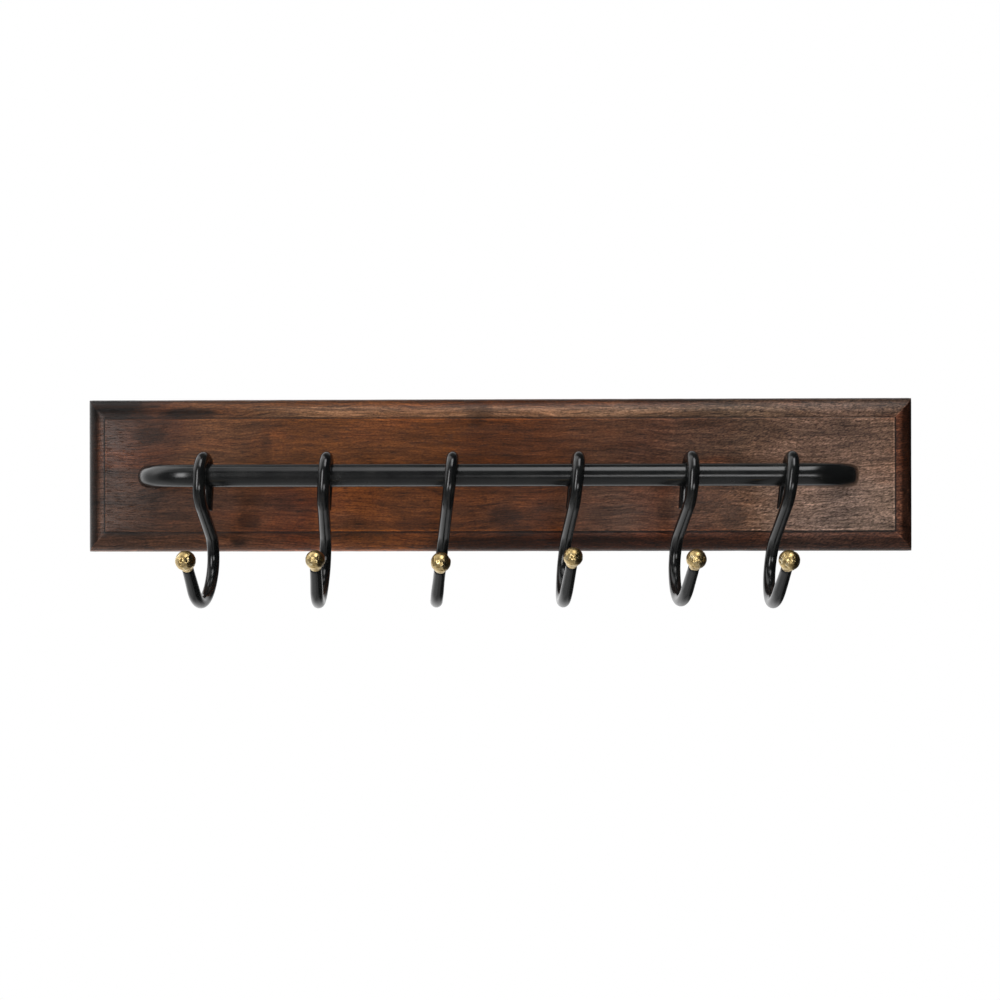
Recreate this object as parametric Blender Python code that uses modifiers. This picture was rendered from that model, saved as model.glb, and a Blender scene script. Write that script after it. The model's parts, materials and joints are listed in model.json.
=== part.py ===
"""Wall rack: a moulded wooden backboard, a round iron rail bent back into it at
both ends, and six S-shaped iron hooks that swing on the rail, each tipped with
a brass ball.

Metres, +Z up. X runs along the board, the wall is the plane y = 0 and the rack
stands out from it towards -Y. The origin is the centre of the board's back.
"""

import math

import bmesh
import bpy
from mathutils import Matrix, Vector

MM = 0.001
GAP = 0.3 * MM  # air left between pieces that meet

# Backboard: a slab with a stepped, rounded moulding all round its front.
BOARD_WIDTH = 609.6 * MM
BOARD_HEIGHT = 112.4 * MM
BOARD_THICKNESS = 20.0 * MM
MOULDING_WIDTH = 14.5 * MM
MOULDING_STEP = 1.3 * MM  # the square step below the front panel
MOULDING_DEPTH = 13.2 * MM  # step and quarter round together
MOULDING_FACETS = 5

# Rail: a round bar with a bend at each end and a threaded stud on each leg.
RAIL_RADIUS = 7.95 * MM
RAIL_SPAN = 503.0 * MM  # between the two legs' axes
RAIL_CENTRE = Vector((-1.1 * MM, 0.0, -1.2 * MM))
RAIL_STANDOFF = 51.4 * MM  # rail's axis to the board's front panel
RAIL_BEND = 38.0 * MM
STUD_RADIUS = 4.0 * MM
SOCKET_DEPTH = 4.0 * MM  # leg's shallow seat in the panel
COUNTERBORE_RADIUS = 11.0 * MM
COUNTERBORE_DEPTH = 9.0 * MM
WASHER_RADIUS = 9.0 * MM
WASHER_THICKNESS = 1.6 * MM
NUT_WIDTH = 13.0 * MM  # across its flats
NUT_HEIGHT = 5.6 * MM

# Hooks: one rod each, from the tail over the rail and down to the ball.
ROD_RADIUS = 4.3 * MM
TIP_RADIUS = 3.75 * MM  # the rod's leg tapers to this at the ball
LOOP_RADIUS = RAIL_RADIUS + 0.35 * MM + ROD_RADIUS
TAIL_LENGTH = 23.2 * MM
LEG_LENGTH = 31.7 * MM  # end of the bowl to the ball's centre
BALL_RADIUS = 6.55 * MM
NECK_RADIUS = 3.9 * MM
NECK_REACH = 7.6 * MM  # ball's centre to the end of its neck
SPIGOT_RADIUS = 2.6 * MM
SPIGOT_REACH = 1.2 * MM  # how far the spigot runs past the ball's centre
# The hooks are bent by hand, so no two are alike. For each, from left to right:
# place along the board, turn forward about the rail that brings its centre of
# mass below the rail's axis, lean of the foot to the left, turn about the
# vertical, length of its straight shank, and how far its bowl bends round.
HOOKS = (
    (-206.2 * MM, -5.8, 1.2, -1.1, 35.6 * MM, 104.2),
    (-121.3 * MM, -6.1, 2.9, 2.9, 36.1 * MM, 104.8),
    (-34.4 * MM, -6.3, 6.2, 2.9, 36.0 * MM, 102.1),
    (53.2 * MM, -6.0, 6.0, 2.1, 36.2 * MM, 106.7),
    (132.2 * MM, -5.1, 4.2, 3.1, 34.7 * MM, 104.8),
    (201.5 * MM, -7.8, 7.9, -1.8, 38.2 * MM, 102.5),
)

# Keyhole hangers let into the back, one standard stud spacing apart.
HANGER_SPACING = 406.4 * MM
HANGER_WIDTH = 16.0 * MM
HANGER_HEIGHT = 46.0 * MM
HANGER_THICKNESS = 1.6 * MM
HANGER_INSET = 0.2 * MM  # plate's outer face behind the board's back
KEYHOLE_RADIUS = 4.75 * MM
KEYHOLE_SLOT_WIDTH = 4.6 * MM
KEYHOLE_TRAVEL = 9.0 * MM  # round entry up to the end of the slot
POCKET_WIDTH = 11.0 * MM
POCKET_HEIGHT = 24.0 * MM
POCKET_DEPTH = 11.0 * MM
HANGER_SCREW_SPACING = 37.0 * MM
SCREW_HEAD_RADIUS = 3.1 * MM
SCREW_SHANK_RADIUS = 1.5 * MM
SCREW_LENGTH = 13.0 * MM

RAIL_Y = -(BOARD_THICKNESS + RAIL_STANDOFF)
FRONT_Y = -BOARD_THICKNESS
ALONG_Y = Matrix.Rotation(math.radians(90), 4, "X")

# Colour, roughness and metallic value of each finish.
FINISHES = {
    "wood": ((0.085, 0.042, 0.026), 0.5, 0.0),
    "black_iron": ((0.015, 0.016, 0.017), 0.28, 0.0),
    "brass": ((0.60, 0.41, 0.14), 0.4, 1.0),
    "zinc_steel": ((0.55, 0.56, 0.57), 0.35, 1.0),
}


def clear_scene():
    for obj in list(bpy.data.objects):
        bpy.data.objects.remove(obj, do_unlink=True)


def new_collection(name):
    collection = bpy.data.collections.new(name)
    bpy.context.scene.collection.children.link(collection)
    return collection


def new_material(name, finish):
    colour, roughness, metallic = FINISHES[finish]
    material = bpy.data.materials.new(name)
    material.use_nodes = True
    shader = material.node_tree.nodes["Principled BSDF"]
    shader.inputs["Base Color"].default_value = (*colour, 1.0)
    shader.inputs["Roughness"].default_value = roughness
    shader.inputs["Metallic"].default_value = metallic
    return material


def place(name, data, finish, parent=None):
    """A piece of the rack, from its mesh or curve."""
    obj = bpy.data.objects.new(name, data)
    data.materials.append(new_material(name + "_finish", finish))
    obj.parent = parent
    rack.objects.link(obj)
    return obj


def mesh_from(bm, name):
    mesh = bpy.data.meshes.new(name)
    bm.to_mesh(mesh)
    bm.free()
    return mesh


def cut(target, cutter_mesh):
    """Takes a cutter's shape away from a piece."""
    cutter = bpy.data.objects.new(f"{target.name}_cutter", cutter_mesh)
    cutter.hide_render = True
    cutter.display_type = "WIRE"
    cutters.objects.link(cutter)
    modifier = target.modifiers.new("Cut", "BOOLEAN")
    modifier.operation = "DIFFERENCE"
    modifier.solver = "EXACT"
    modifier.object = cutter


def box_mesh(x, z, width, height, y_from, y_to):
    """A box centred on (x, z), from one depth to another."""
    bm = bmesh.new()
    middle = Vector((x, (y_from + y_to) / 2, z))
    size = (width, abs(y_to - y_from), height)
    scale = Matrix.Diagonal((*size, 1.0))
    bmesh.ops.create_cube(bm, size=1.0, matrix=Matrix.Translation(middle) @ scale)
    return mesh_from(bm, "box")


def drum_mesh(x, z, radius, y_from, y_to, sides=24, far_radius=None):
    """A cylinder or cone along Y: radius at y_from, far_radius at y_to."""
    bm = bmesh.new()
    middle = Vector((x, (y_from + y_to) / 2, z))
    # The cone's own axis is Z, and ALONG_Y turns its far end to -Y.
    near, far = radius, radius if far_radius is None else far_radius
    if y_to > y_from:
        near, far = far, near
    bmesh.ops.create_cone(
        bm,
        cap_ends=True,
        segments=sides,
        radius1=near,
        radius2=far,
        depth=abs(y_to - y_from),
        matrix=Matrix.Translation(middle) @ ALONG_Y,
    )
    return mesh_from(bm, "drum")


def turned(name, outline, finish, sides=16, parent=None):
    """A turned piece: (radius, height) points from its top down the outside."""
    mesh = bpy.data.meshes.new(name)
    points = [(radius, 0.0, height) for radius, height in outline]
    mesh.from_pydata(points, [(i, i + 1) for i in range(len(points) - 1)], [])
    obj = place(name, mesh, finish, parent)
    screw = obj.modifiers.new("Turn", "SCREW")
    screw.steps = screw.render_steps = sides
    screw.use_merge_vertices = True
    screw.merge_threshold = 0.00001
    return obj


def trace(start, heading, course, step=15.0):
    """Points of a path drawn in a plane by straight runs and round bends.

    course holds (length,) for a run and (radius, turn) for a bend; heading and
    turn are in degrees, a positive turn to the left.
    """
    point = Vector(start)
    points = [point.copy()]
    for leg in course:
        if len(leg) == 1:
            way = math.radians(heading)
            point = point + leg[0] * Vector((math.cos(way), math.sin(way)))
            points.append(point)
            continue
        radius, turn = leg
        side = math.radians(heading + math.copysign(90.0, turn))
        centre = point + radius * Vector((math.cos(side), math.sin(side)))
        count = max(1, math.ceil(abs(turn) / step - 1e-6))
        for i in range(1, count + 1):
            angle = side + math.pi + math.radians(turn * i / count)
            arm = radius * Vector((math.cos(angle), math.sin(angle)))
            points.append(centre + arm)
        point = points[-1].copy()
        heading += turn
    return points, heading


def tube(name, points, radii, finish, roundness, parent=None):
    """A round bar along the points, with its radius at each of them."""
    curve = bpy.data.curves.new(name, "CURVE")
    curve.dimensions = "3D"
    curve.bevel_depth = 1.0
    curve.bevel_resolution = roundness
    curve.use_fill_caps = True
    spline = curve.splines.new("POLY")
    spline.points.add(len(points) - 1)
    for knot, point, radius in zip(spline.points, points, radii):
        knot.co = (*point, 1.0)
        knot.radius = radius
    return place(name, curve, finish, parent)


def make_board():
    """The slab, its front face inset step by step into the moulding."""
    slab = BOARD_THICKNESS - MOULDING_DEPTH
    board = place(
        "backboard",
        box_mesh(0.0, 0.0, BOARD_WIDTH, BOARD_HEIGHT, 0.0, -slab),
        "wood",
    )
    bm = bmesh.new()
    bm.from_mesh(board.data)
    bm.faces.ensure_lookup_table()
    front = min(bm.faces, key=lambda face: face.calc_center_median().y)
    drop = MOULDING_DEPTH - MOULDING_STEP
    inset, rise = 0.0, 0.0
    for i in range(1, MOULDING_FACETS + 1):
        angle = math.radians(90.0 * i / MOULDING_FACETS)
        next_inset = MOULDING_WIDTH * (1.0 - math.cos(angle))
        next_rise = drop * math.sin(angle)
        bmesh.ops.inset_individual(
            bm,
            faces=[front],
            thickness=next_inset - inset,
            depth=next_rise - rise,
            use_even_offset=True,
        )
        inset, rise = next_inset, next_rise
    bmesh.ops.inset_individual(
        bm, faces=[front], thickness=0.2 * MM, depth=MOULDING_STEP
    )
    bm.to_mesh(board.data)
    bm.free()

    for side in (-1, 1):
        x = RAIL_CENTRE.x + side * RAIL_SPAN / 2
        z = RAIL_CENTRE.z
        seat = RAIL_RADIUS + GAP
        past = 1.0 * MM
        cut(board, drum_mesh(x, z, seat, FRONT_Y - past, FRONT_Y + SOCKET_DEPTH))
        cut(board, drum_mesh(x, z, COUNTERBORE_RADIUS, past, -COUNTERBORE_DEPTH))
        cut(
            board,
            drum_mesh(
                x,
                z,
                STUD_RADIUS + GAP,
                past - COUNTERBORE_DEPTH,
                FRONT_Y + SOCKET_DEPTH - past,
                sides=16,
            ),
        )
        x = side * HANGER_SPACING / 2
        bed = HANGER_INSET + HANGER_THICKNESS + GAP
        cut(
            board,
            box_mesh(
                x, 0.0, HANGER_WIDTH + 2 * GAP, HANGER_HEIGHT + 2 * GAP, past, -bed
            ),
        )
        cut(
            board,
            box_mesh(
                x, POCKET_CENTRE, POCKET_WIDTH, POCKET_HEIGHT, past, -POCKET_DEPTH
            ),
        )
        for end in (-1, 1):
            cut(
                board,
                drum_mesh(
                    x,
                    end * HANGER_SCREW_SPACING / 2,
                    SCREW_SHANK_RADIUS + GAP,
                    past - bed,
                    -SCREW_LENGTH - 2 * GAP,
                    sides=12,
                ),
            )


def make_rail():
    """The rail: stud, leg, bend, straight, bend, leg, stud, in a level plane."""
    half = RAIL_SPAN / 2
    stud_end = -0.6 * MM
    shoulder = FRONT_Y + SOCKET_DEPTH - GAP
    leg = shoulder - (RAIL_Y + RAIL_BEND)
    straight = RAIL_SPAN - 2 * RAIL_BEND
    start = (RAIL_CENTRE.x - half, shoulder)
    bends, _ = trace(
        start,
        -90.0,
        ((leg,), (RAIL_BEND, 90.0), (straight,), (RAIL_BEND, 90.0), (leg,)),
    )
    points = [Vector((p.x, p.y, RAIL_CENTRE.z)) for p in bends]
    radii = [RAIL_RADIUS] * len(points)
    # The stud springs from the shoulder over a hair's breadth.
    lip = Vector((0.0, 0.02 * MM, 0.0))
    for end, into in ((points[0], 0), (points[-1], len(points) + 2)):
        stud = [Vector((end.x, stud_end, end.z)), end + lip]
        if into:
            points += stud[::-1]
            radii += [STUD_RADIUS] * 2
        else:
            points = stud + points
            radii = [STUD_RADIUS] * 2 + radii
    tube("rail_bar", points, radii, "black_iron", 6)


def make_rail_fixings():
    """A washer and a nut on each stud, down in the counterbore."""
    for side, word in ((-1, "left"), (1, "right")):
        x = RAIL_CENTRE.x + side * RAIL_SPAN / 2
        z = RAIL_CENTRE.z
        floor = -COUNTERBORE_DEPTH + GAP
        bore = STUD_RADIUS + GAP
        washer_top = floor + WASHER_THICKNESS
        washer = place(
            f"rail_washer_{word}",
            drum_mesh(x, z, WASHER_RADIUS, floor, washer_top),
            "zinc_steel",
        )
        cut(washer, drum_mesh(x, z, bore, floor - MM, washer_top + MM, sides=16))
        under = washer_top + GAP
        nut = place(
            f"rail_nut_{word}",
            drum_mesh(
                x,
                z,
                NUT_WIDTH / math.sqrt(3.0),
                under,
                under + NUT_HEIGHT,
                sides=6,
            ),
            "zinc_steel",
        )
        cut(nut, drum_mesh(x, z, bore, under - MM, under + NUT_HEIGHT + MM, sides=16))


def make_hook(number, x, hang, lean, turn, shank, bowl):
    """One hook: the rod in its own upright plane, and the ball on its tip."""
    pivot = bpy.data.objects.new(f"hook_{number}_pivot", None)
    pivot.empty_display_size = 0.02
    pivot.location = (x, RAIL_Y, RAIL_CENTRE.z)
    pivot.rotation_mode = "ZYX"
    pivot.rotation_euler = [math.radians(a) for a in (hang, lean, turn)]
    rack.objects.link(pivot)

    # In the hook's plane the first axis points away from the wall.
    spigot_root = LEG_LENGTH - NECK_REACH - GAP
    bends, heading = trace(
        (-LOOP_RADIUS, -TAIL_LENGTH),
        90.0,
        (
            (TAIL_LENGTH,),
            (LOOP_RADIUS, -180.0),  # over the rail
            (6.0 * MM,),
            (18.0 * MM, -61.4),  # in under the rail
            (shank,),
            (22.0 * MM, 84.5),  # down and round the back of the bowl
            (34.4 * MM, bowl),  # along the bottom of the bowl
            (spigot_root,),
        ),
    )
    radii = [ROD_RADIUS] * (len(bends) - 1) + [TIP_RADIUS]
    way = Vector((math.cos(math.radians(heading)), math.sin(math.radians(heading))))
    root = bends[-1]
    ball_centre = root + way * (LEG_LENGTH - spigot_root)
    bends += [root + way * 0.02 * MM, ball_centre + way * SPIGOT_REACH]
    radii += [SPIGOT_RADIUS] * 2
    points = [Vector((0.0, -p.x, p.y)) for p in bends]
    tube(f"hook_{number}_rod", points, radii, "black_iron", 4, pivot)

    # The ball and its neck, turned about the leg's line, with a blind socket.
    neck = -math.sqrt(BALL_RADIUS**2 - NECK_RADIUS**2)
    last = math.degrees(math.atan2(-neck, NECK_RADIUS)) + 90.0
    facets = 9
    outline = []
    for i in range(facets + 1):
        angle = math.radians(90.0 - last * i / facets)
        outline.append((BALL_RADIUS * math.cos(angle), BALL_RADIUS * math.sin(angle)))
    outline[0] = (0.0, BALL_RADIUS)
    outline += [
        (NECK_RADIUS, -NECK_REACH),
        (SPIGOT_RADIUS + GAP, -NECK_REACH),
        (SPIGOT_RADIUS + GAP, SPIGOT_REACH + GAP),
        (0.0, SPIGOT_REACH + GAP),
    ]
    ball = turned(f"hook_{number}_ball", outline, "brass", parent=pivot)
    ball.location = (0.0, -ball_centre.x, ball_centre.y)
    ball.rotation_euler = (math.radians(90.0 - heading), 0.0, 0.0)


def make_hangers():
    """Two keyhole plates, each on two countersunk screws."""
    outer = -HANGER_INSET
    inner = outer - HANGER_THICKNESS
    for side, word in ((-1, "left"), (1, "right")):
        x = side * HANGER_SPACING / 2
        plate = place(
            f"hanger_plate_{word}",
            box_mesh(x, 0.0, HANGER_WIDTH, HANGER_HEIGHT, inner, outer),
            "zinc_steel",
        )
        low = -KEYHOLE_TRAVEL / 2
        cut(plate, drum_mesh(x, low, KEYHOLE_RADIUS, inner - MM, outer + MM))
        cut(
            plate,
            box_mesh(
                x,
                low + KEYHOLE_TRAVEL / 2,
                KEYHOLE_SLOT_WIDTH,
                KEYHOLE_TRAVEL,
                inner - MM,
                outer + MM,
            ),
        )
        cut(
            plate,
            drum_mesh(
                x, -low, KEYHOLE_SLOT_WIDTH / 2, inner - MM, outer + MM, sides=16
            ),
        )
        for end, place_word in ((1, "top"), (-1, "bottom")):
            z = end * HANGER_SCREW_SPACING / 2
            slope = (SCREW_HEAD_RADIUS - SCREW_SHANK_RADIUS) / (HANGER_THICKNESS)
            mouth = SCREW_HEAD_RADIUS + GAP + 0.5 * MM * slope
            throat = mouth - slope * (HANGER_THICKNESS + 0.7 * MM)
            cut(
                plate,
                drum_mesh(
                    x,
                    z,
                    mouth,
                    outer + 0.3 * MM,
                    inner - 0.4 * MM,
                    sides=16,
                    far_radius=max(throat, SCREW_SHANK_RADIUS + GAP),
                ),
            )
            screw = turned(
                f"hanger_screw_{word}_{place_word}",
                (
                    (0.0, 0.0),
                    (SCREW_HEAD_RADIUS, 0.0),
                    (SCREW_SHANK_RADIUS, -HANGER_THICKNESS),
                    (SCREW_SHANK_RADIUS, 2 * MM - SCREW_LENGTH),
                    (0.0, -SCREW_LENGTH),
                ),
                "zinc_steel",
                sides=12,
            )
            # Its head faces the wall, flush with the plate.
            screw.location = (x, outer - 0.1 * MM, z)
            screw.rotation_euler = (math.radians(-90.0), 0.0, 0.0)


# The pocket reaches from below the keyhole's entry to above its slot.
POCKET_CENTRE = 1.0 * MM

clear_scene()
rack = new_collection("hook_rack")
cutters = new_collection("cutters")
make_board()
make_rail()
make_rail_fixings()
for number, hook in enumerate(HOOKS, start=1):
    make_hook(number, *hook)
make_hangers()
for obj in rack.objects:
    if obj.type == "MESH":
        obj.data.shade_smooth()
        obj.data.set_sharp_from_angle(angle=math.radians(35))
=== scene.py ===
"""The looks of the wall hook rack: fine meshes, finishes, light and camera."""

import json
import math
import random

import bmesh
import bpy
from mathutils import Matrix, Vector, noise


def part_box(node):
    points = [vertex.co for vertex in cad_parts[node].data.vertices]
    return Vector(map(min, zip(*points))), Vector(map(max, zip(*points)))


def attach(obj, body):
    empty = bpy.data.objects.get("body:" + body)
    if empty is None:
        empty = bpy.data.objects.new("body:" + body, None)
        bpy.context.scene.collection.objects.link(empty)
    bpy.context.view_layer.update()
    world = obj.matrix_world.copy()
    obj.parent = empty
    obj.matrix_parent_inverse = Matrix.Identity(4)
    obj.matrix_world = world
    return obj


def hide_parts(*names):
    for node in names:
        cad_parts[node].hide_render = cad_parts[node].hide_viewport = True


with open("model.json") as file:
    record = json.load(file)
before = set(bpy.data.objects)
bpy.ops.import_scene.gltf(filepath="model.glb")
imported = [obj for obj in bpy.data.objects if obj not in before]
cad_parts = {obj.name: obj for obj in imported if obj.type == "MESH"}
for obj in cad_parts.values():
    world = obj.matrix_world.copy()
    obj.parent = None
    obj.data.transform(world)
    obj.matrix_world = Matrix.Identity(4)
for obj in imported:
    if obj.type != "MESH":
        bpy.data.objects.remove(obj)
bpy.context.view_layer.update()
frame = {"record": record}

MM = 0.001

# ---------------------------------------------------------------------------
# What the frame says
# ---------------------------------------------------------------------------


def middle(node):
    low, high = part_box(node)
    return (Vector(low) + Vector(high)) / 2


def size(node):
    low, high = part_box(node)
    return Vector(high) - Vector(low)


BOARD_LOW, BOARD_HIGH = (Vector(corner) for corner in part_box("backboard"))
RAIL_LOW, RAIL_HIGH = (Vector(corner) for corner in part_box("rail_bar"))
PIVOTS = {
    joint["child"]: Vector(joint["pos_m"]) for joint in frame["record"]["behaviour"]["joints"]
}

BOARD_WIDTH = BOARD_HIGH.x - BOARD_LOW.x
BOARD_HEIGHT = BOARD_HIGH.z - BOARD_LOW.z
FRONT_Y = BOARD_LOW.y
RAIL_RADIUS = (RAIL_HIGH.z - RAIL_LOW.z) / 2
RAIL_Y = RAIL_LOW.y + RAIL_RADIUS
RAIL_Z = (RAIL_HIGH.z + RAIL_LOW.z) / 2
LEG_X = (RAIL_LOW.x + RAIL_RADIUS, RAIL_HIGH.x - RAIL_RADIUS)

# The shapes that the frame's boxes can't give, as in the CAD model.
MOULDING_WIDTH = 14.5 * MM
MOULDING_STEP = 1.3 * MM
MOULDING_DEPTH = 13.2 * MM
# How much the hand-cut board grows toward its right end, and its unevenness.
GROWN_TOP = 0.6 * MM
GROWN_FOOT = 0.7 * MM
GROWN_END = 0.9 * MM
BOARD_STRIDE = 3.0 * MM
CORNER_CUT = 0.15 * MM
SLOW_WANDER = (0.10 * MM, 45.0)
FINE_WANDER = (0.04 * MM, 260.0)
# The rail's bends, and where its legs enter the board.
RAIL_BEND = 38.0 * MM
SEAT_RADIUS = RAIL_RADIUS + 0.3 * MM
SEAT_DEPTH = 4.0 * MM
COUNTERBORE_RADIUS = 11.0 * MM
COUNTERBORE_DEPTH = 9.0 * MM
STUD_RADIUS = 4.0 * MM
STUD_END = -0.6 * MM
STUD_PITCH = 1.25 * MM
# The rail's end stops short of its seat, and its edge there is turned off.
SHOULDER_GAP = 0.3 * MM
SHOULDER_CHAMFER = 0.6 * MM
# The hooks' rods.
ROD_RADIUS = 4.3 * MM
TIP_RADIUS = 3.75 * MM
LOOP_RADIUS = 12.6 * MM
TAIL_LENGTH = 23.2 * MM
LEG_LENGTH = 31.7 * MM
# After the loop: a short run, the bend that crosses under the rail, and after
# the shank the bowl's rear bend and its round.
LOOP_RUN = 6.0 * MM
CROSSING = (18.0 * MM, -61.4)
BOWL_REAR = (22.0 * MM, 84.5)
BOWL_RADIUS = 34.4 * MM
# The balls, and the spigots that they sit on.
BALL_RADIUS = 6.55 * MM
NECK_RADIUS = 3.9 * MM
NECK_REACH = 7.6 * MM
SPIGOT_RADIUS = 2.6 * MM
SOCKET_RADIUS = SPIGOT_RADIUS + 0.3 * MM
# Each ball's size against the plain ball's, and how far its neck flares out.
BALLS = (
    (1.03, 0.5 * MM),
    (0.99, 0.4 * MM),
    (1.02, 0.9 * MM),
    (0.99, 0.6 * MM),
    (1.03, 1.2 * MM),
    (1.08, 1.3 * MM),
)
# For each hook from left to right: turn forward about the rail, lean of the foot
# to the left, turn about the vertical, straight shank's length, bowl's bend.
HOOKS = (
    (-5.8, 1.2, -1.1, 35.6 * MM, 104.2),
    (-6.1, 2.9, 2.9, 36.1 * MM, 104.8),
    (-6.3, 6.2, 2.9, 36.0 * MM, 102.1),
    (-6.0, 6.0, 2.1, 36.2 * MM, 106.7),
    (-5.1, 4.2, 3.1, 34.7 * MM, 104.8),
    (-7.8, 7.9, -1.8, 38.2 * MM, 102.5),
)
# The back's cuts and the hangers in them.
MORTISE_GAP = 0.3 * MM
PILOT_RADIUS = 1.8 * MM
PILOT_END = -13.6 * MM
KEYHOLE_RADIUS = 4.75 * MM
KEYHOLE_SLOT_WIDTH = 4.6 * MM
KEYHOLE_TRAVEL = 9.0 * MM
POCKET = Vector((11.0, 11.0, 24.0)) * MM
POCKET_RISE = 1.0 * MM

# ---------------------------------------------------------------------------
# Mesh helpers
# ---------------------------------------------------------------------------


def srgb(*colour):
    """Linear colour from 0 to 255 display values."""
    linear = []
    for value in colour:
        value /= 255.0
        linear.append(value / 12.92 if value <= 0.04045 else ((value + 0.055) / 1.055) ** 2.4)
    return (*linear, 1.0)


def new_object(name, mesh):
    obj = bpy.data.objects.new(name, mesh)
    bpy.context.scene.collection.objects.link(obj)
    return obj


def smooth(mesh, angle=40.0):
    mesh.shade_smooth()
    mesh.set_sharp_from_angle(angle=math.radians(angle))


def mesh_of_rings(name, rings):
    """A closed skin over rings of points, each ring with the same count."""
    count = len(rings[0])
    points = [point for ring in rings for point in ring]
    faces = []
    for i in range(len(rings) - 1):
        for j in range(count):
            k = (j + 1) % count
            faces.append(
                (i * count + j, i * count + k, (i + 1) * count + k, (i + 1) * count + j)
            )
    faces.append(tuple(reversed(range(count))))
    faces.append(tuple(range((len(rings) - 1) * count, len(rings) * count)))
    mesh = bpy.data.meshes.new(name)
    mesh.from_pydata(points, [], faces)
    bm = bmesh.new()
    bm.from_mesh(mesh)
    bmesh.ops.recalc_face_normals(bm, faces=bm.faces)
    bm.to_mesh(mesh)
    bm.free()
    return mesh


def way_at(heading):
    """The unit vector at a heading in degrees."""
    return Vector((math.cos(math.radians(heading)), math.sin(math.radians(heading))))


def trace(start, heading, course, step=3.0, stride=1.2 * MM):
    """(point, heading) along a path of straight runs and round bends."""
    point = Vector(start)
    path = [(point.copy(), heading)]
    for leg in course:
        if len(leg) == 1:
            way = way_at(heading)
            count = max(1, round(leg[0] / stride))
            for i in range(1, count + 1):
                path.append((point + way * leg[0] * i / count, heading))
            point = path[-1][0].copy()
            continue
        radius, turn = leg
        side = math.radians(heading + math.copysign(90.0, turn))
        centre = point + radius * Vector((math.cos(side), math.sin(side)))
        count = max(1, math.ceil(abs(turn) / step))
        for i in range(1, count + 1):
            angle = side + math.pi + math.radians(turn * i / count)
            arm = radius * Vector((math.cos(angle), math.sin(angle)))
            path.append((centre + arm, heading + turn * i / count))
        point = path[-1][0].copy()
        heading += turn
    return path


def grown(radius, place, seed, amount, scale):
    """A radius with the slow unevenness of hand-worked bar."""
    return radius + amount * noise.noise(place * scale + Vector((seed, 1.7 * seed, 0.3)))


def boolean(target, cutter, operation="DIFFERENCE"):
    modifier = target.modifiers.new("Cut", "BOOLEAN")
    modifier.operation = operation
    modifier.object = cutter
    modifier.solver = "EXACT"


def settled(obj):
    """Applies obj's modifiers and removes the helpers that they used."""
    helpers = [m.object for m in obj.modifiers if m.type == "BOOLEAN"]
    graph = bpy.context.evaluated_depsgraph_get()
    mesh = bpy.data.meshes.new_from_object(obj.evaluated_get(graph))
    mesh.name = obj.name
    obj.modifiers.clear()
    obj.data = mesh
    for helper in helpers:
        bpy.data.objects.remove(helper, do_unlink=True)
    return obj


def drum(name, spot, radius, y_from, y_to, sides=64, far_radius=None):
    """A cylinder or cone along Y through a spot, its far radius at y_to."""
    bm = bmesh.new()
    far = radius if far_radius is None else far_radius
    # The cone's first radius is the one at its higher y.
    first, second = (far, radius) if y_to > y_from else (radius, far)
    bmesh.ops.create_cone(
        bm,
        cap_ends=True,
        segments=sides,
        radius1=first,
        radius2=second,
        depth=abs(y_to - y_from),
        matrix=Matrix.Translation((spot.x, (y_from + y_to) / 2, spot.z))
        @ Matrix.Rotation(math.radians(90), 4, "X"),
    )
    mesh = bpy.data.meshes.new(name)
    bm.to_mesh(mesh)
    bm.free()
    return new_object(name, mesh)


def block(name, centre, extent, rounding=0.0, segments=4):
    """A box, with its edges along Y rounded where asked."""
    bm = bmesh.new()
    bmesh.ops.create_cube(
        bm, size=1.0, matrix=Matrix.Translation(centre) @ Matrix.Diagonal((*extent, 1.0))
    )
    if rounding:
        along_y = [
            edge
            for edge in bm.edges
            if abs((edge.verts[0].co - edge.verts[1].co).normalized().y) > 0.9
        ]
        bmesh.ops.bevel(
            bm, geom=along_y, offset=rounding, segments=segments, profile=0.5, affect="EDGES"
        )
    mesh = bpy.data.meshes.new(name)
    bm.to_mesh(mesh)
    bm.free()
    return new_object(name, mesh)


# ---------------------------------------------------------------------------
# Shader helpers
# ---------------------------------------------------------------------------


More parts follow.
